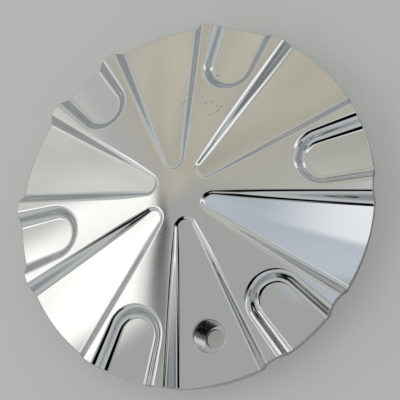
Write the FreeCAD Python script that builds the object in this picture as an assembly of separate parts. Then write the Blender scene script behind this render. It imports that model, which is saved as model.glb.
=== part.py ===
import FreeCAD, Part
import math
import os

# Wheel centre cap, moulded in ABS as one thin shell and then chrome plated.
# The front is a shallow cone with six raised arms. A sunk wedge lies between each two arms,
# and each arm has a U-shaped pocket that runs out through the rim.
# Frame: millimetres, +Z along the cap's axis towards the front. The origin is on the axis,
# in the plane where the spigot's end rests. The screw hole lies towards -Y.

Vector = FreeCAD.Vector

# Face
cap_diameter = 180.0
wall = 2.2
sector_count = 6
rim_height = 14.0
arm_rise = 5.8
arm_slope = 5.0
apex_round = 18.0
edge_round = 2.0

# Sunk wedges between the arms
wedge_slope = 8.65
wedge_tip_distance = 17.2
wedge_tip_radius = 3.3
wedge_half_angle = 13.4
wedge_wall_at_tip = 2.9
wedge_wall_at_rim = 4.3

# U-shaped pockets in the arms
pocket_depth = 5.6
pocket_slope = 6.8
pocket_tip_distance = 69.0
pocket_tip_radius = 9.5
pocket_half_angle = 4.2
pocket_wall_at_tip = 3.7
pocket_wall_at_rim = 4.7

# Screw hole in one wedge, sunk for the screw's head
screw_distance = 68.0
screw_hole_diameter = 9.0
counterbore_diameter = 15.0
counterbore_depth = 8.0
screw_seat = 3.0

# Spigot on the back, a plain ring that locates in the wheel's bore
spigot_diameter = 100.0
spigot_wall = 3.0
spigot_reach = 9.0
spigot_shoulder = 2.5
spigot_lead_in = 0.8

# Stiffening ribs inside the spigot, round a small hub
rib_thickness = 1.6
rib_underside = 13.0
hub_diameter = 16.0

# Worked-out sizes
cap_radius = cap_diameter / 2
sector_angle = 360.0 / sector_count
arm_rim_z = rim_height + arm_rise
pocket_rim_z = arm_rim_z - pocket_depth
first_wedge_angle = -90.0
first_arm_angle = first_wedge_angle + sector_angle / 2
overrun = 6.0
wall_overrun = 0.5
smooth_limit = 6.0


def tangent(angle):
    return math.tan(math.radians(angle))


def cone_z(rim_z, slope, radius):
    """Height of a cone that rises inwards from rim_z at the cap's rim."""
    return rim_z + (cap_radius - radius) * tangent(slope)


screw_seat_z = cone_z(rim_height, wedge_slope, screw_distance) - counterbore_depth
boss_bottom_z = screw_seat_z - screw_seat


def turned(points):
    """Solid of revolution about Z from a closed outline of (radius, z) points and arcs."""
    return Part.Face(Part.Wire(points)).revolve(Vector(0, 0, 0), Vector(0, 0, 1), 360)


def polyline(points):
    corners = [Vector(radius, 0, z) for radius, z in points]
    return [Part.makeLine(a, b) for a, b in zip(corners, corners[1:])]


def cone_body(rim_z, slope, outer_radius, floor_z):
    """Everything under a plain cone, down to floor_z."""
    outline = [(0, cone_z(rim_z, slope, 0)), (0, floor_z), (outer_radius, floor_z),
               (outer_radius, cone_z(rim_z, slope, outer_radius))]
    return turned(polyline(outline + outline[:1]))


def arm_body(drop, outer_radius, floor_z):
    """Everything under the arms' cone with its rounded apex, lowered by drop, down to floor_z."""
    ball = apex_round / math.sin(math.radians(arm_slope))
    shoulder_z = cone_z(arm_rim_z, arm_slope, apex_round) - drop
    apex_z = shoulder_z + ball * (1 - math.cos(math.radians(arm_slope)))
    half = math.radians(arm_slope / 2)
    middle = Vector(ball * math.sin(half), 0, apex_z - ball * (1 - math.cos(half)))
    apex = Part.Arc(Vector(apex_round, 0, shoulder_z), middle, Vector(0, 0, apex_z)).toShape()
    outline = [(0, apex_z), (0, floor_z), (outer_radius, floor_z),
               (outer_radius, cone_z(arm_rim_z, arm_slope, outer_radius) - drop), (apex_round, shoulder_z)]
    return turned(polyline(outline) + [apex])


def recess_outline(tip, end):
    """Flat U outline in a sloping plane: a round tip, two straight sides and a straight end."""
    tip_x, tip_half, tip_z = tip
    end_x, end_half, end_z = end
    length = math.hypot(end_x - tip_x, end_z - tip_z)
    along = Vector(end_x - tip_x, 0, end_z - tip_z) / length
    spread = math.atan2(end_half - tip_half, length)
    radius = tip_half * math.cos(spread)

    def at(u, v):
        return Vector(tip_x, 0, tip_z) + along * u + Vector(0, v, 0)

    back = -radius * math.sin(spread)
    side = radius * math.cos(spread)
    left = Part.makeLine(at(length, end_half), at(back, side))
    round_tip = Part.Arc(at(back, side), at(-radius, 0), at(back, -side)).toShape()
    right = Part.makeLine(at(back, -side), at(length, -end_half))
    close = Part.makeLine(at(length, -end_half), at(length, end_half))
    return Part.Wire([left, round_tip, right, close])


def recess_tool(floor, top):
    """Block with sloping walls through two U outlines, carried on a little past both."""
    def between(share):
        return [[a + (b - a) * share for a, b in zip(low, high)] for low, high in zip(floor, top)]

    outlines = [recess_outline(*between(-wall_overrun)), recess_outline(*between(1 + wall_overrun))]
    return Part.makeLoft(outlines, True, True)


def recess_stations(tip_distance, tip_radius, half_angle, wall_at_tip, wall_at_rim, floor_cone, sink):
    """Floor and top stations (distance, half width, height) at a recess's tip and past the rim."""
    end_x = cap_radius + overrun
    reach = (end_x - tip_distance) / (cap_radius - tip_distance)
    wall_at_end = wall_at_tip + (wall_at_rim - wall_at_tip) * reach
    tip_half = tip_radius / math.cos(math.radians(half_angle)) + sink / 2
    end_half = tip_half + (end_x - tip_distance) * tangent(half_angle)
    floor = [(tip_distance, tip_half, cone_z(*floor_cone, tip_distance) - sink),
             (end_x, end_half, cone_z(*floor_cone, math.hypot(end_x, end_half)) - sink)]
    arm_cone = (arm_rim_z, arm_slope)
    top_end_half = end_half + wall_at_end
    top = [(tip_distance, tip_half + wall_at_tip, cone_z(*arm_cone, tip_distance) - sink),
           (end_x, top_end_half, cone_z(*arm_cone, math.hypot(end_x, top_end_half)) - sink)]
    return floor, top


def patterned(shape, first_angle):
    """Copies of a shape round the cap's axis, one in each sector."""
    copies = []
    for index in range(sector_count):
        copy = shape.copy()
        copy.rotate(Vector(0, 0, 0), Vector(0, 0, 1), first_angle + index * sector_angle)
        copies.append(copy)
    return copies


def recess_cutters(sink):
    """The wedges' and pockets' cutters, sunk and widened by sink for the shell's inner side."""
    floor_z = -overrun - sink
    outer_radius = cap_radius + 2 * overrun
    wedge_cone = (rim_height, wedge_slope)
    wedge = recess_tool(*recess_stations(wedge_tip_distance, wedge_tip_radius, wedge_half_angle,
                                         wedge_wall_at_tip, wedge_wall_at_rim, wedge_cone, sink))
    wedge = wedge.cut(cone_body(rim_height - sink, wedge_slope, outer_radius, floor_z))
    pocket_cone = (pocket_rim_z, pocket_slope)
    pocket = recess_tool(*recess_stations(pocket_tip_distance, pocket_tip_radius, pocket_half_angle,
                                          pocket_wall_at_tip, pocket_wall_at_rim, pocket_cone, sink))
    pocket = pocket.cut(cone_body(pocket_rim_z - sink, pocket_slope, outer_radius, floor_z))
    return patterned(wedge, first_wedge_angle) + patterned(pocket, first_arm_angle)


def normal_on(face, point):
    u, v = face.Surface.parameter(point)
    return face.normalAt(u, v)


def middle_of(edge):
    return edge.valueAt((edge.FirstParameter + edge.LastParameter) / 2)


def on_arm_edge(point):
    """True for a point inside the rim that lies nearer to the arms' cone than to the wedges' floor."""
    radius = math.hypot(point.x, point.y)
    half_way = (cone_z(arm_rim_z, arm_slope, radius) + cone_z(rim_height, wedge_slope, radius)) / 2
    return point.z > half_way and radius < cap_radius - edge_round / 2


def arm_edges(shape):
    """Edges where an arm meets the walls of its recesses at a clear angle."""
    found = []
    for edge in shape.Edges:
        faces = shape.ancestorsOfType(edge, Part.Face)
        middle = middle_of(edge)
        if len(faces) < 2 or not on_arm_edge(middle):
            continue
        angle = math.degrees(normal_on(faces[0], middle).getAngle(normal_on(faces[1], middle)))
        if angle > smooth_limit:
            found.append(edge)
    return found


def star_face():
    """Solid block under the star face, with the arms' edges rounded and the screw's hole drilled."""
    block = arm_body(0, cap_radius, 0).cut(recess_cutters(0))
    block = block.makeFillet(edge_round, arm_edges(block))
    return block.cut(screw_drill())


def spigot():
    """Ring with a lead-in at its end and a shoulder that seats on the wheel's face."""
    top_z = arm_rim_z + cap_radius * tangent(arm_slope)
    outer = spigot_diameter / 2
    inner = outer - spigot_wall
    outline = [(inner, 0), (outer - spigot_lead_in, 0), (outer, spigot_lead_in), (outer, spigot_reach),
               (outer + spigot_shoulder, spigot_reach), (outer + spigot_shoulder, top_z),
               (inner + spigot_shoulder, top_z), (inner + spigot_shoulder, spigot_reach + spigot_wall),
               (inner, spigot_reach + spigot_wall)]
    return turned(polyline(outline + outline[:1]))


def ribs():
    """Radial ribs under the arms, from a small hub to the spigot."""
    height = arm_rim_z + cap_radius * tangent(arm_slope) - rib_underside
    length = spigot_diameter / 2 + spigot_shoulder - spigot_wall / 2
    rib = Part.makeBox(length, rib_thickness, height, Vector(0, -rib_thickness / 2, rib_underside))
    hub_radius = hub_diameter / 2
    hub = Part.makeCylinder(hub_radius, height, Vector(0, 0, rib_underside))
    bore = Part.makeCylinder(hub_radius - rib_thickness, height, Vector(0, 0, rib_underside))
    star = hub.fuse(patterned(rib, first_arm_angle))
    return star.cut(bore)


def screw_axis_point(z):
    angle = math.radians(first_wedge_angle)
    return Vector(screw_distance * math.cos(angle), screw_distance * math.sin(angle), z)


def screw_boss():
    """Tube behind the face that carries the sunk screw head."""
    return Part.makeCylinder(counterbore_diameter / 2 + wall, arm_rim_z - boss_bottom_z,
                             screw_axis_point(boss_bottom_z))


def screw_drill():
    """Cutter for the counterbore and the screw's clearance hole."""
    sink = Part.makeCylinder(counterbore_diameter / 2, arm_rim_z, screw_axis_point(screw_seat_z))
    hole = Part.makeCylinder(screw_hole_diameter / 2, arm_rim_z, screw_axis_point(boss_bottom_z - overrun))
    return sink.fuse(hole)


def cap_shell():
    """The whole moulding: the star face less a cavity that leaves the spigot, ribs and boss standing."""
    core = arm_body(wall, cap_radius + overrun, -overrun).cut(recess_cutters(wall))
    cavity = core.cut([spigot(), ribs(), screw_boss()])
    return star_face().cut(cavity)


shell = cap_shell()
print("valid", shell.isValid(), "solids", len(shell.Solids), "volume", round(shell.Volume, 1))
print("box", shell.BoundBox)
os.makedirs("parts", exist_ok=True)
shell.exportStep("parts/cap_shell.step")
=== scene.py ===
"""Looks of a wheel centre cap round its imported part: chrome plate, studio stage and camera."""

import math

import bpy
import numpy as np
from mathutils import Matrix, Vector


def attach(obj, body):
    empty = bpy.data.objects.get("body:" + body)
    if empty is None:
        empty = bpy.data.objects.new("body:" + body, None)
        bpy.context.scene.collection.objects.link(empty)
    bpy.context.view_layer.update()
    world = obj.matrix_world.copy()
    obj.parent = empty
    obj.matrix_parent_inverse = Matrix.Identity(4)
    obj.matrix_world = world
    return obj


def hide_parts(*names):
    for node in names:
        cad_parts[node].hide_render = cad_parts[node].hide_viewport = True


bl_info = {
    "name": "Wheel Centre Cap Looks",
    "version": (1, 0, 0),
    "blender": (4, 5, 0),
    "location": "3D View > Sidebar > Centre Cap",
    "description": "Chrome-plate finish and studio stage for a wheel centre cap",
    "category": "Object",
}

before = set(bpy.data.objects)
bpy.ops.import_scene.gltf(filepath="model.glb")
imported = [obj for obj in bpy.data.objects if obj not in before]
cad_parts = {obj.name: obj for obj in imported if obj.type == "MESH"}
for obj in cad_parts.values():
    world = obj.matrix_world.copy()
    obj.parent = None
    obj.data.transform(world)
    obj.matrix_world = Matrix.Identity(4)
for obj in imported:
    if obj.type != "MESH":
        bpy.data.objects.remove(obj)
MM = 0.001

# Sizes of the face in millimetres and degrees, as in the part's source. A cone is its height at the rim
# and its slope. From its straight distance outwards, the mesh's columns follow a recess's straight sides.
CAP_RADIUS = 90.0
WALL = 2.2
SECTORS = 6
SECTOR = 360 / SECTORS
ARM_CONE = (19.8, 5.0)
APEX_ROUND = 18.0
WEDGE = {"cone": (14.0, 8.65), "first": -90, "tip": 17.2, "tip_radius": 3.3, "half_angle": 13.4,
         "walls": (2.9, 4.3), "straight": 30.0}
POCKET = {"cone": (14.2, 6.8), "first": -60, "tip": 69.0, "tip_radius": 9.5, "half_angle": 4.2,
          "walls": (3.7, 4.7), "straight": 60.0}
OVERRUN = 6.0
HOLE = {"centre": (0.0, -68.0), "radius": 7.5, "seat": 9.347}

# The middle of a wall is steeper than the whole wall by a factor between these, to leave room for its rounds.
STEEPENING = (1.15, 2.0)

# Fineness of the front's mesh: stations across a sector and out to the rim, and where they lie close together.
COLUMNS, CLOSE_TURNS = 155, [(10.5, 49.5)]
ROWS, CLOSE_RADII = 96, [(9, 20), (53, 68)]

# Round the hole, quads with a corner inside the near distance or wholly inside the far one give way to
# rings, which lie a hair above the face so that their seam stays hidden.
MESH_STOPS_NEAR, MESH_STOPS_FAR = 9.0, 11.5
HOLE_RINGS = (12.6, 10.0)
RING_LIFT = 0.004


def linear(hex_colour):
    """Linear RGBA of an sRGB colour written as #RRGGBB."""
    parts = [int(hex_colour[i:i + 2], 16) / 255 for i in (1, 3, 5)]
    return tuple(p / 12.92 if p <= 0.04045 else ((p + 0.055) / 1.055) ** 2.4 for p in parts) + (1.0,)


def add_node(tree, kind, settings=None, **inputs):
    """Adds a node, sets its properties, and sets or links its inputs by name (spaces as underscores)."""
    node = tree.nodes.new(kind)
    for name, value in (settings or {}).items():
        setattr(node, name, value)
    for name, value in inputs.items():
        socket = node.inputs[int(name[1:])] if name[0] == "_" else node.inputs[name.replace("_", " ")]
        if isinstance(value, bpy.types.NodeSocket):
            tree.links.new(value, socket)
        else:
            socket.default_value = value
    return node


def empty_tree(owner):
    owner.use_nodes = True
    owner.node_tree.nodes.clear()
    return owner.node_tree


class CapFinish(bpy.types.PropertyGroup):
    plate_colour: bpy.props.FloatVectorProperty(
        name="Plate colour", description="Reflected colour of the chrome plate",
        subtype="COLOR", size=4, min=0, max=1, default=linear("#D5D5D3"))
    front_roughness: bpy.props.FloatProperty(
        name="Front roughness", description="Roughness of the polished front", subtype="FACTOR",
        min=0, max=1, default=0.035)
    back_roughness: bpy.props.FloatProperty(
        name="Back roughness", description="Roughness of the unpolished back", subtype="FACTOR",
        min=0, max=1, default=0.32)
    wall_rounding: bpy.props.FloatProperty(
        name="Wall rounding", subtype="FACTOR", min=0.05, max=0.5, default=0.5,
        description="Share of a wall's height taken by the round at its top or its foot")
    least_lean: bpy.props.FloatProperty(
        name="Least lean", unit="ROTATION", default=math.radians(34),
        description="Slope that the middle of a shallow wall is drawn up to")
    rim_round: bpy.props.FloatProperty(
        name="Rim round", description="Rounding of the rim's edge", unit="LENGTH", default=0.5 * MM)
    mouth_round: bpy.props.FloatProperty(
        name="Mouth round", description="Rounding of the screw hole's mouth", unit="LENGTH",
        default=0.6 * MM)
    wave_length: bpy.props.FloatProperty(
        name="Wave length", description="Spacing of the moulding's slight waves", unit="LENGTH",
        default=26 * MM)
    wave_height: bpy.props.FloatProperty(
        name="Wave height", description="Height of the moulding's slight waves", unit="LENGTH",
        default=0.02 * MM)


class StageSetup(bpy.types.PropertyGroup):
    floor_colour: bpy.props.FloatVectorProperty(
        name="Floor colour", description="Colour of the plain floor", subtype="COLOR",
        size=4, min=0, max=1, default=linear("#C2C4C4"))
    backdrop_colour: bpy.props.FloatVectorProperty(
        name="Backdrop colour", description="Tone that the floor is lifted towards in the picture",
        subtype="COLOR", size=4, min=0, max=1, default=linear("#C3C4BE"))
    floor_lift: bpy.props.FloatProperty(
        name="Floor lift", description="Share of the backdrop colour in the floor that the camera sees",
        subtype="FACTOR", min=0, max=1, default=0.45)
    room_strength: bpy.props.FloatProperty(
        name="Room strength", description="Brightness of the grey room round the cap", default=1.0)
    key_power: bpy.props.FloatProperty(
        name="Key power", description="Power of the soft light from the left", unit="POWER", default=2.5)
    key_size: bpy.props.FloatProperty(
        name="Key size", description="Width of the soft light from the left", unit="LENGTH", default=0.9)
    key_place: bpy.props.FloatVectorProperty(
        name="Key place", description="Where the soft light stands", subtype="TRANSLATION", unit="LENGTH",
        size=3, default=(-0.80, -0.25, 0.75))
    lens: bpy.props.FloatProperty(
        name="Lens", description="Focal length of the camera on a 36 mm sensor", unit="CAMERA",
        default=88.99)
    camera_place: bpy.props.FloatVectorProperty(
        name="Camera place", description="Where the camera stands", subtype="TRANSLATION", unit="LENGTH",
        size=3, default=(130.2 * MM, -166.5 * MM, 440.5 * MM))


def tangent(degrees):
    return math.tan(math.radians(degrees))


def cone_z(cone, radius):
    return cone[0] + (CAP_RADIUS - radius) * tangent(cone[1])


def arm_z(radius):
    """Height of the arms' cone with its rounded apex."""
    slope = math.radians(ARM_CONE[1])
    ball = APEX_ROUND / math.sin(slope)
    dome = cone_z(ARM_CONE, APEX_ROUND) + np.sqrt(ball ** 2 - radius ** 2) - ball * math.cos(slope)
    return np.where(radius > APEX_ROUND, cone_z(ARM_CONE, radius), dome)


def soft_min(a, b, reach):
    """The lower of two heights, rounded where they come within reach of each other."""
    near = np.clip(1 - np.abs(a - b) / reach, 0, None)
    return np.minimum(a, b) - near ** 2 * reach / 4


def outside_by(u, v, tip_half, end_half, length):
    """Signed distance from a U outline with a round tip at u = 0 and straight sides."""
    spread = math.atan2(end_half - tip_half, length)
    cosine, sine = math.cos(spread), math.sin(spread)
    radius = tip_half * cosine
    side = v * cosine - u * sine - radius
    return np.where(u * cosine + v * sine < 0, np.hypot(u, v) - radius, side)


def recess_outlines(recess, sink=0.0):
    """Length of a recess, and the half widths at both ends of its floor and of the top of its walls."""
    length = CAP_RADIUS + OVERRUN - recess["tip"]
    wall_tip, wall_rim = recess["walls"]
    wall_end = wall_tip + (wall_rim - wall_tip) * length / (CAP_RADIUS - recess["tip"])
    tip_half = recess["tip_radius"] / math.cos(math.radians(recess["half_angle"])) + sink / 2
    end_half = tip_half + length * tangent(recess["half_angle"])
    return length, (tip_half, end_half), (tip_half + wall_tip, end_half + wall_end)


def recess_heights(recess, x, y, looks, sink):
    """Heights of a recess's floor and wall at x, y, and the height over which they are rounded together."""
    sector = 2 * math.pi / SECTORS
    turn = np.arctan2(y, x) - math.radians(recess["first"])
    turn = (turn + sector / 2) % sector - sector / 2
    radius = np.hypot(x, y)
    along, across = radius * np.cos(turn) - recess["tip"], np.abs(radius * np.sin(turn))
    length, floor_halves, top_halves = recess_outlines(recess, sink)

    def station(cone, tip_width, end_width):
        tip_z = cone_z(cone, recess["tip"]) - sink
        drop = cone_z(cone, math.hypot(CAP_RADIUS + OVERRUN, end_width)) - sink - tip_z
        slant = math.hypot(length, drop)
        gap = outside_by(along * slant / length, across, tip_width, end_width, slant)
        return gap, tip_z + along * drop / length

    floor_gap, floor_z = station(recess["cone"], *floor_halves)
    top_gap, top_z = station(ARM_CONE, *top_halves)
    rise = np.maximum(top_z - floor_z, 0.05)
    lean = rise / (floor_gap - top_gap)
    middle = np.clip(math.tan(looks.least_lean), STEEPENING[0] * lean, STEEPENING[1] * lean)
    wall = (floor_z + top_z + middle * (floor_gap + top_gap)) / 2
    return cone_z(recess["cone"], radius) - sink, wall, looks.wall_rounding * rise


def face_z(x, y, looks, sink=0.0):
    """Height of the star face at x, y, with every edge rounded, or of its inner side at a sink below it."""
    height = arm_z(np.hypot(x, y)) - sink
    for recess in (WEDGE, POCKET):
        floor, wall, reach = recess_heights(recess, x, y, looks, sink)
        height = soft_min(height, -soft_min(-floor, -wall, reach), reach)
    return height


def face_normals(x, y, looks):
    """Unit normals of the star face at x, y, from its slopes."""
    step = 0.01
    lean_x = (face_z(x - step, y, looks) - face_z(x + step, y, looks)) / (2 * step)
    lean_y = (face_z(x, y - step, looks) - face_z(x, y + step, looks)) / (2 * step)
    normals = np.stack([lean_x, lean_y, np.ones_like(lean_x)], -1)
    return normals / np.linalg.norm(normals, axis=-1, keepdims=True)


def crowded(low, high, count, zones):
    """Stations from low to high, about six times closer together inside the zones."""
    fine = np.linspace(low, high, 4001)
    weight = np.full(fine.shape, 0.16)
    for start, end in zones:
        weight[(fine > start) & (fine < end)] = 1.0
    share = np.concatenate([[0], np.cumsum((weight[1:] + weight[:-1]) / 2)])
    return np.interp(np.linspace(0, share[-1], count), share, fine)


def side_turns(recess, radius):
    """Degrees from a recess's axis to the straight sides of its floor and of its walls' top."""
    length, *outlines = recess_outlines(recess)
    turns = []
    for tip_half, end_half in outlines:
        spread = math.atan2(end_half - tip_half, length)
        aside = tip_half * math.cos(spread) - recess["tip"] * math.sin(spread)
        turns.append(math.degrees(spread + math.asin(aside / max(radius, recess["straight"]))))
    return turns


def wall_turns(radius):
    """Degrees across one sector, from wedge axis to wedge axis, at which the walls begin and end."""
    pocket_sides = reversed(side_turns(POCKET, radius))
    half = [0, *side_turns(WEDGE, radius), *(SECTOR / 2 - turn for turn in pocket_sides), SECTOR / 2]
    return half + [SECTOR - turn for turn in reversed(half[:-1])]


class Sheet:
    """Points, faces and normals of a mesh in millimetres, gathered row by row."""

    def __init__(self):
        self.points, self.normals, self.faces = [], [], []

    def add_rows(self, points, normals, keep=None):
        """Adds a closed strip of quads: arrays of rows, each a ring of points."""
        rows, ring = points.shape[:2]
        start = sum(len(p) for p in self.points)
        index = start + np.arange(rows * ring).reshape(rows, ring)
        beside = np.roll(index, -1, axis=1)
        quads = np.stack([index[:-1], index[1:], beside[1:], beside[:-1]], -1).reshape(-1, 4)
        self.points.append(points.reshape(-1, 3))
        self.normals.append(normals.reshape(-1, 3))
        if keep is not None:
            quads = quads[keep(points.reshape(-1, 3)[quads - start])]
        self.faces.extend(map(tuple, quads.tolist()))

    def mesh(self, name):
        points, normals = np.concatenate(self.points), np.concatenate(self.normals)
        mesh = bpy.data.meshes.new(name)
        mesh.from_pydata((points * MM).tolist(), [], self.faces)
        mesh.shade_smooth()
        corners = np.zeros(len(mesh.loops), np.int32)
        mesh.loops.foreach_get("vertex_index", corners)
        mesh.normals_split_custom_set(normals[corners].tolist())
        return mesh


def turned_edge(points, normals, outward, radius):
    """Rows that roll an edge over from the face to a wall that faces outward."""
    rolled, turned = [], []
    upward = np.array([0, 0, 1.0])
    for angle in np.radians([30, 60, 90]):
        rolled.append(points + outward * radius * math.sin(angle) - upward * radius * (1 - math.cos(angle)))
        normal = normals * math.cos(angle) + outward * math.sin(angle)
        turned.append(normal / np.linalg.norm(normal, axis=-1, keepdims=True))
    return rolled, turned


def star_sheet(sheet, looks):
    """The star face out to its rim, the rim's rolled edge and the rim's wall."""
    rim_round = looks.rim_round / MM
    columns = crowded(0, SECTOR, COLUMNS, CLOSE_TURNS)[:-1]
    radii = crowded(0.05, CAP_RADIUS - rim_round, ROWS, CLOSE_RADII)
    turns = np.stack([np.interp(columns, wall_turns(CAP_RADIUS), wall_turns(radius)) for radius in radii])
    turns = np.concatenate([turns + SECTOR * k for k in range(SECTORS)], axis=1)
    angles = np.radians(WEDGE["first"] + turns)
    x, y = radii[:, None] * np.cos(angles), radii[:, None] * np.sin(angles)
    points = np.stack([x, y, face_z(x, y, looks)], -1)
    normals = face_normals(x, y, looks)

    def clear_of_hole(corners):
        away = np.hypot(corners[..., 0] - HOLE["centre"][0], corners[..., 1] - HOLE["centre"][1])
        return (away.min(-1) > MESH_STOPS_NEAR) & (away.max(-1) > MESH_STOPS_FAR)

    sheet.add_rows(points, normals, clear_of_hole)
    outward = np.stack([np.cos(angles[-1]), np.sin(angles[-1]), np.zeros_like(angles[-1])], -1)
    rolled, turned = turned_edge(points[-1], normals[-1], outward, rim_round)
    sheet.add_rows(np.stack([points[-1]] + rolled), np.stack([normals[-1]] + turned))
    foot = CAP_RADIUS * outward
    foot[:, 2] = face_z(foot[:, 0], foot[:, 1], looks, WALL)
    sheet.add_rows(np.stack([rolled[-1], foot]), np.stack([outward, outward]))


def hole_sheet(sheet, looks):
    """The face close to the screw hole, the hole's rolled mouth and its wall down to the seat."""
    mouth = looks.mouth_round / MM
    angles = np.linspace(2 * math.pi, 0, 72, endpoint=False)
    inward = -np.stack([np.cos(angles), np.sin(angles), np.zeros_like(angles)], -1)
    centre = np.array([*HOLE["centre"], 0.0])
    rows = []
    for away in (*HOLE_RINGS, HOLE["radius"] + mouth):
        row = centre - inward * away
        row[:, 2] = face_z(row[:, 0], row[:, 1], looks) + RING_LIFT
        rows.append(row)
    points = np.stack(rows)
    normals = face_normals(points[..., 0], points[..., 1], looks)
    rolled, turned = turned_edge(points[-1], normals[-1], inward, mouth)
    sheet.add_rows(np.concatenate([points, rolled]), np.concatenate([normals, turned]))
    seat = rolled[-1].copy()
    seat[:, 2] = HOLE["seat"]
    sheet.add_rows(np.stack([rolled[-1], seat]), np.stack([inward, inward]))


def back_sheet(sheet, looks, node):
    """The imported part's own faces, less those of the front, the rim's wall and the screw hole's mouth."""
    mesh = node.data
    count = len(mesh.polygons)
    middle, facing = np.zeros(count * 3), np.zeros(count * 3)
    mesh.polygons.foreach_get("center", middle)
    mesh.polygons.foreach_get("normal", facing)
    middle, facing = middle.reshape(-1, 3) / MM, facing.reshape(-1, 3)
    front = (facing[:, 2] > 0.02) & (middle[:, 2] > face_z(middle[:, 0], middle[:, 1], looks) - 1.0)
    upright = np.abs(facing[:, 2]) < 0.3
    rim = upright & (np.hypot(middle[:, 0], middle[:, 1]) > CAP_RADIUS - 0.1)
    from_hole = np.hypot(middle[:, 0] - HOLE["centre"][0], middle[:, 1] - HOLE["centre"][1])
    sink = upright & (np.abs(from_hole - HOLE["radius"]) < 0.2) & (middle[:, 2] > HOLE["seat"])
    kept = ~(front | rim | sink)
    corners, normals = np.zeros(count * 3, np.int32), np.zeros(count * 9)
    mesh.loops.foreach_get("vertex_index", corners)
    mesh.corner_normals.foreach_get("vector", normals)
    places = np.zeros(len(mesh.vertices) * 3)
    mesh.vertices.foreach_get("co", places)
    places = places.reshape(-1, 3)[corners.reshape(-1, 3)[kept].ravel()] / MM
    start = sum(len(p) for p in sheet.points)
    sheet.points.append(places)
    sheet.normals.append(normals.reshape(-1, 9)[kept].reshape(-1, 3))
    sheet.faces.extend(map(tuple, (start + np.arange(len(places)).reshape(-1, 3)).tolist()))


def mark(tree, place, centre, half_length, half_width, angle):
    """Mask of a small mark on the plate: an ellipse in millimetres, turned by angle about Z."""
    local = add_node(tree, "ShaderNodeMapping", {"vector_type": "TEXTURE"}, Vector=place,
                     Location=[c * MM for c in centre], Rotation=(0, 0, angle),
                     Scale=(half_length * MM, half_width * MM, 1))
    away = add_node(tree, "ShaderNodeVectorMath", {"operation": "LENGTH"}, Vector=local.outputs[0])
    return add_node(tree, "ShaderNodeMapRange", Value=away.outputs["Value"], From_Min=0.45, From_Max=1.0,
                    To_Min=1.0, To_Max=0.0).outputs[0]


def strongest(tree, masks):
    total = masks[0]
    for mask in masks[1:]:
        total = add_node(tree, "ShaderNodeMath", {"operation": "MAXIMUM"}, _0=total, _1=mask).outputs[0]
    return total


def blended(tree, mask, below, above):
    """Colour below, with above laid over it where mask is 1."""
    mix = add_node(tree, "ShaderNodeMix", {"data_type": "RGBA"}, _0=mask, _6=below, _7=above)
    return mix.outputs[2]


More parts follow.
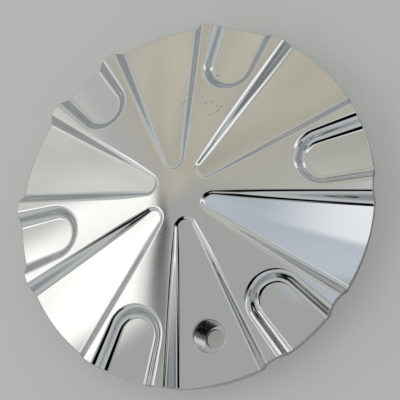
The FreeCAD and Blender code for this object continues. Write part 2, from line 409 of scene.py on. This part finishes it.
def chrome_plate(finish):
    """Bright chrome over a polished ABS moulding: a clear mirror in front with the faint waves of moulded
    plastic, hairline wiping marks and a few scuffs, and a dull satin on the unpolished back."""
    material = bpy.data.materials.new("chrome_plated_abs_moulding")
    tree = empty_tree(material)
    place = add_node(tree, "ShaderNodeTexCoord").outputs["Object"]

    # Slight waves bend straight reflections the way a moulded surface does.
    waves = add_node(tree, "ShaderNodeTexNoise", Vector=place, Scale=1 / finish.wave_length, Detail=1.0)
    wavy = add_node(tree, "ShaderNodeBump", Strength=1.0, Distance=finish.wave_height,
                    Height=waves.outputs["Fac"])

    # Wiping marks are fine hairs that only show as small changes of gloss.
    along_hairs = add_node(tree, "ShaderNodeMapping", Vector=place, Rotation=(0, 0, 0.6), Scale=(0.08, 1, 1))
    hairs = add_node(tree, "ShaderNodeTexNoise", Vector=along_hairs.outputs[0], Scale=1 / (0.6 * MM),
                     Detail=3.0)
    gloss = add_node(tree, "ShaderNodeMapRange", Value=hairs.outputs["Fac"], From_Min=0.5, From_Max=0.8,
                     To_Min=finish.front_roughness, To_Max=finish.front_roughness + 0.06)

    # The back keeps the mould's fine grain under the plate, so it is satin and not a mirror.
    facing = add_node(tree, "ShaderNodeNewGeometry").outputs["True Normal"]
    up = add_node(tree, "ShaderNodeSeparateXYZ", Vector=facing).outputs["Z"]
    behind = add_node(tree, "ShaderNodeMapRange", Value=up, From_Min=0.02, From_Max=-0.02)
    roughness = add_node(tree, "ShaderNodeMix", {"data_type": "FLOAT"}, _0=behind.outputs[0],
                         _2=gloss.outputs[0], _3=finish.back_roughness)

    # Scuffs: dull grey rubs, one brownish scratch in three strokes and faint specks of dirt.
    rub = strongest(tree, [mark(tree, place, (8.9, 47.8, 20.4), 1.3, 0.40, 0.45),
                           mark(tree, place, (7.5, 46.8, 20.5), 1.0, 0.40, 1.0)])
    scratch = strongest(tree, [mark(tree, place, (21.8, 35.1, 24.0), 1.8, 0.45, 0.12),
                               mark(tree, place, (25.0, 36.0, 23.8), 2.3, 0.55, 0.40),
                               mark(tree, place, (27.6, 37.9, 23.6), 1.4, 0.50, 0.95)])
    streaks = strongest(tree, [mark(tree, place, (8.5, -16.5, 26.0), 3.4, 0.35, -1.5),
                               mark(tree, place, (-53.9, 40.0, 17.5), 2.2, 0.4, 2.2)])
    specks = strongest(tree, [mark(tree, place, (27.0, 57.6, 17.3), 0.9, 0.6, 0.4),
                              mark(tree, place, (20.0, 41.8, 23.6), 1.0, 0.35, 0.3),
                              mark(tree, place, (23.6, 41.8, 23.5), 0.9, 0.35, 0.1),
                              mark(tree, place, (25.5, 38.6, 23.7), 0.6, 0.40, 0.9)])
    broken = add_node(tree, "ShaderNodeTexNoise", Vector=place, Scale=1 / (1.1 * MM), Detail=2.0)
    worn = add_node(tree, "ShaderNodeMapRange", Value=broken.outputs["Fac"], From_Min=0.35, From_Max=0.6)
    scratch = add_node(tree, "ShaderNodeMath", {"operation": "MULTIPLY"}, _0=scratch,
                       _1=worn.outputs[0]).outputs[0]
    colour = blended(tree, scratch, finish.plate_colour, linear("#B29A8A"))
    colour = blended(tree, rub, colour, linear("#B0AEA6"))
    colour = blended(tree, specks, colour, linear("#A29E96"))
    dull = strongest(tree, [rub, scratch, specks, streaks])
    roughness = add_node(tree, "ShaderNodeMix", {"data_type": "FLOAT"}, _0=dull, _2=roughness.outputs[0],
                         _3=0.45)

    shader = add_node(tree, "ShaderNodeBsdfPrincipled", Base_Color=colour, Metallic=1.0,
                      Roughness=roughness.outputs[0], Normal=wavy.outputs[0])
    add_node(tree, "ShaderNodeOutputMaterial", Surface=shader.outputs[0])
    return material


def card_glow(name, colour, strength, edge):
    """Glow of a studio card, a little uneven as on real cards, that fades out over a share of its width."""
    material = bpy.data.materials.new(name)
    tree = empty_tree(material)
    place = add_node(tree, "ShaderNodeTexCoord")
    axes = add_node(tree, "ShaderNodeSeparateXYZ", Vector=place.outputs["Generated"])
    share = None
    for axis in "XY":
        middle = add_node(tree, "ShaderNodeMath", {"operation": "SUBTRACT"}, _0=axes.outputs[axis], _1=0.5)
        away = add_node(tree, "ShaderNodeMath", {"operation": "ABSOLUTE"}, _0=middle.outputs[0])
        fade = add_node(tree, "ShaderNodeMapRange", {"interpolation_type": "SMOOTHSTEP"},
                        Value=away.outputs[0], From_Min=0.5 - edge, From_Max=0.5, To_Min=1.0,
                        To_Max=0.0).outputs[0]
        if share is not None:
            fade = add_node(tree, "ShaderNodeMath", {"operation": "MULTIPLY"}, _0=share, _1=fade).outputs[0]
        share = fade
    clouds = add_node(tree, "ShaderNodeTexNoise", Vector=place.outputs["Object"], Scale=1 / (300 * MM),
                      Detail=1.0)
    level = add_node(tree, "ShaderNodeMapRange", Value=clouds.outputs["Fac"], From_Min=0.3, From_Max=0.7,
                     To_Min=0.87 * strength, To_Max=1.13 * strength)
    glow = add_node(tree, "ShaderNodeEmission", Color=colour, Strength=level.outputs[0])
    clear = add_node(tree, "ShaderNodeBsdfTransparent")
    shown = add_node(tree, "ShaderNodeMixShader", _0=share, _1=clear.outputs[0], _2=glow.outputs[0])
    add_node(tree, "ShaderNodeOutputMaterial", Surface=shown.outputs[0])
    return material


def flat_card(name, centre, size, material, aim=0):
    """Stage card, level and turned or facing a point, that lights and mirrors but isn't seen by the camera."""
    width, depth = (side / 2 for side in size)
    corners = [(-width, -depth, 0), (width, -depth, 0), (width, depth, 0), (-width, depth, 0)]
    mesh = bpy.data.meshes.new(name)
    mesh.from_pydata(corners, [], [(0, 1, 2, 3)])
    card = bpy.data.objects.new(name, mesh)
    bpy.context.scene.collection.objects.link(card)
    card.location = centre
    if isinstance(aim, tuple):
        card.rotation_euler = (Vector(aim) - Vector(centre)).to_track_quat("-Z", "Y").to_euler()
    else:
        card.rotation_euler.z = math.radians(aim)
    mesh.materials.append(material)
    card.visible_camera = False
    return card


# Studio floor, just under the cap's spigot, in metres
FLOOR_PLACE, FLOOR_SIZE = (0, 0, -0.0002), (6, 6)

# Studio cards: name, colour, strength, faded share of the edge, centre and size in metres, and the turn in
# degrees of a level card or the point that an upright card faces
CAP = (0.0, 0.0, 0.02)
CARDS = (
    ("white_softbox", "#FDFEFC", 1.50, 0.15, (-0.76, 0.27, 0.97), (0.68, 0.60), 0),
    ("pale_softbox", "#F6F7F2", 0.88, 0.17, (-0.885, 0.765, 0.96), (0.60, 0.75), 20),
    ("dark_strip", "#8A8C8C", 0.74, 0.50, (-0.405, 0.17, 0.95), (0.11, 0.62), 0),
    ("beige_ceiling", "#E2DECF", 0.83, 0.15, (-0.02, 1.00, 1.00), (1.20, 1.30), 10),
    ("pale_ceiling", "#D2D1CB", 0.93, 0.30, (0.12, 0.40, 1.01), (0.60, 0.40), 10),
    ("blue_panel", "#D3DCE9", 0.95, 0.15, (0.15, 0.125, 1.00), (0.44, 0.32), 0),
    ("strip_light", "#F6FAFF", 1.35, 0.14, (0.69, -0.03, 0.98), (1.32, 0.21), -24),
    ("dark_room", "#0C0B0A", 0.50, 0.10, (0.25, -0.66, 0.97), (1.50, 0.80), 0),
    ("dark_corner", "#0C0B0A", 0.50, 0.12, (0.22, -0.18, 0.96), (0.36, 0.34), 0),
    ("dark_wall", "#888C8E", 1.00, 0.25, (1.02, -0.52, 0.40), (0.50, 0.60), CAP),
    ("left_reflector", "#F6F8F6", 1.00, 0.25, (-1.05, 0.28, 0.55), (0.95, 0.60), CAP),
    ("bright_window", "#FFFFFF", 1.15, 0.15, (0.929, 0.453, 0.376), (0.28, 0.60), CAP),
)

# Tones of the room from the floor up: the sine of the height angle and the colour.
ROOM_TONES = ((0.0, "#A0A7AB"), (0.12, "#AAB0B4"), (0.26, "#C6CCD0"), (0.45, "#D6DADC"), (0.65, "#D0D3D4"),
              (0.86, "#C0C1BF"))


def floor_paint(stage):
    """Matt pale paper: an even colour with a very faint fibre mottle, lifted a little for the camera."""
    material = bpy.data.materials.new("matt_studio_paper")
    tree = empty_tree(material)
    place = add_node(tree, "ShaderNodeTexCoord").outputs["Object"]
    fibre = add_node(tree, "ShaderNodeTexNoise", Vector=place, Scale=1 / (40 * MM), Detail=4.0)
    tone = add_node(tree, "ShaderNodeMapRange", Value=fibre.outputs["Fac"], To_Min=0.98, To_Max=1.02)
    colour = add_node(tree, "ShaderNodeVectorMath", {"operation": "SCALE"}, Vector=stage.floor_colour[:3],
                      Scale=tone.outputs[0])
    paper = add_node(tree, "ShaderNodeBsdfPrincipled", Base_Color=colour.outputs[0], Roughness=0.9)
    lift = add_node(tree, "ShaderNodeEmission", Color=stage.backdrop_colour, Strength=1.0)
    seen = add_node(tree, "ShaderNodeLightPath").outputs["Is Camera Ray"]
    share = add_node(tree, "ShaderNodeMath", {"operation": "MULTIPLY"}, _0=seen,
                     _1=stage.floor_lift).outputs[0]
    shown = add_node(tree, "ShaderNodeMixShader", _0=share, _1=paper.outputs[0], _2=lift.outputs[0])
    add_node(tree, "ShaderNodeOutputMaterial", Surface=shown.outputs[0])
    return material


def key_light(stage):
    """Soft light from the left that draws the cap's shadow and isn't mirrored in it."""
    data = bpy.data.lights.new("key_light", "AREA")
    data.size = stage.key_size
    data.energy = stage.key_power
    light = bpy.data.objects.new("key_light", data)
    bpy.context.scene.collection.objects.link(light)
    light.location = stage.key_place
    light.rotation_euler = (Vector(CAP) - light.location).to_track_quat("-Z", "Y").to_euler()
    light.visible_glossy = False


def room(stage):
    """Grey room light from all round, dark at the foot of its walls and lightest half-way up."""
    world = bpy.data.worlds.new("grey_room")
    bpy.context.scene.world = world
    tree = empty_tree(world)
    direction = add_node(tree, "ShaderNodeTexCoord").outputs["Generated"]
    up = add_node(tree, "ShaderNodeSeparateXYZ", Vector=direction).outputs["Z"]
    ramp = add_node(tree, "ShaderNodeValToRGB", Fac=up)
    stops = ramp.color_ramp.elements
    while len(stops) < len(ROOM_TONES):
        stops.new(1.0)
    for stop, (height, colour) in zip(stops, ROOM_TONES):
        stop.position = height
        stop.color = linear(colour)
    light = add_node(tree, "ShaderNodeBackground", Color=ramp.outputs[0], Strength=stage.room_strength)
    add_node(tree, "ShaderNodeOutputWorld", Surface=light.outputs[0])


# The picture's right and top as directions in the cap's frame, and its shift to the side
PICTURE_RIGHT = Vector((0.9251, -0.1595, -0.3447))
PICTURE_TOP = Vector((0.2635, 0.9232, 0.2800))
PICTURE_SHIFT = 0.0306


def camera(stage):
    """Camera at the photograph's angle, with everything in focus."""
    data = bpy.data.cameras.new("photo_camera")
    data.sensor_width = 36.0
    data.lens = stage.lens
    data.shift_x = PICTURE_SHIFT
    data.dof.use_dof = False
    eye = bpy.data.objects.new("photo_camera", data)
    bpy.context.scene.collection.objects.link(eye)
    right = PICTURE_RIGHT.normalized()
    back = right.cross(PICTURE_TOP).normalized()
    up = back.cross(right)
    turn = Matrix((right, up, back)).transposed().to_4x4()
    eye.matrix_world = Matrix.Translation(stage.camera_place) @ turn
    data.clip_start = 0.01
    bpy.context.scene.camera = eye


class CENTRECAP_OT_dress_shell(bpy.types.Operator):
    """Build the plated shell with its rounded edges and give it its chrome-plate finish."""
    bl_idname = "centrecap.dress_shell"
    bl_label = "Dress the shell"

    def execute(self, context):
        looks = context.scene.cap_finish
        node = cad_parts["cap_shell"]
        sheet = Sheet()
        star_sheet(sheet, looks)
        hole_sheet(sheet, looks)
        back_sheet(sheet, looks, node)
        shell = bpy.data.objects.new("plated_shell", sheet.mesh("plated_shell"))
        context.scene.collection.objects.link(shell)
        plate = chrome_plate(looks)
        for mesh in (node.data, shell.data):
            mesh.materials.clear()
            mesh.materials.append(plate)
        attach(shell, "root")
        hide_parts("cap_shell")
        return {"FINISHED"}


class CENTRECAP_OT_build_stage(bpy.types.Operator):
    """Build the floor, the studio cards, the room light and the camera."""
    bl_idname = "centrecap.build_stage"
    bl_label = "Build the stage"

    def execute(self, context):
        stage = context.scene.cap_stage
        floor = flat_card("studio_floor", FLOOR_PLACE, FLOOR_SIZE, floor_paint(stage))
        floor.visible_camera = True
        for name, colour, strength, edge, centre, size, aim in CARDS:
            flat_card(name, centre, size, card_glow(name, linear(colour), strength, edge), aim)
        key_light(stage)
        room(stage)
        camera(stage)
        context.scene.view_settings.view_transform = "Standard"
        return {"FINISHED"}


class CENTRECAP_PT_panel(bpy.types.Panel):
    """Settings of the cap's looks."""
    bl_idname = "CENTRECAP_PT_panel"
    bl_label = "Centre Cap"
    bl_space_type = "VIEW_3D"
    bl_region_type = "UI"
    bl_category = "Centre Cap"

    def draw(self, context):
        for group, operator in ((context.scene.cap_finish, "centrecap.dress_shell"),
                                (context.scene.cap_stage, "centrecap.build_stage")):
            for name in group.__annotations__:
                self.layout.prop(group, name)
            self.layout.operator(operator)


CLASSES = (CapFinish, StageSetup, CENTRECAP_OT_dress_shell, CENTRECAP_OT_build_stage, CENTRECAP_PT_panel)


def register():
    for cls in CLASSES:
        bpy.utils.register_class(cls)
    bpy.types.Scene.cap_finish = bpy.props.PointerProperty(type=CapFinish)
    bpy.types.Scene.cap_stage = bpy.props.PointerProperty(type=StageSetup)


def unregister():
    del bpy.types.Scene.cap_stage
    del bpy.types.Scene.cap_finish
    for cls in reversed(CLASSES):
        bpy.utils.unregister_class(cls)


def main():
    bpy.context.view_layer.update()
    register()
    bpy.ops.centrecap.dress_shell()
    bpy.ops.centrecap.build_stage()


if __name__ == "__main__":
    main()
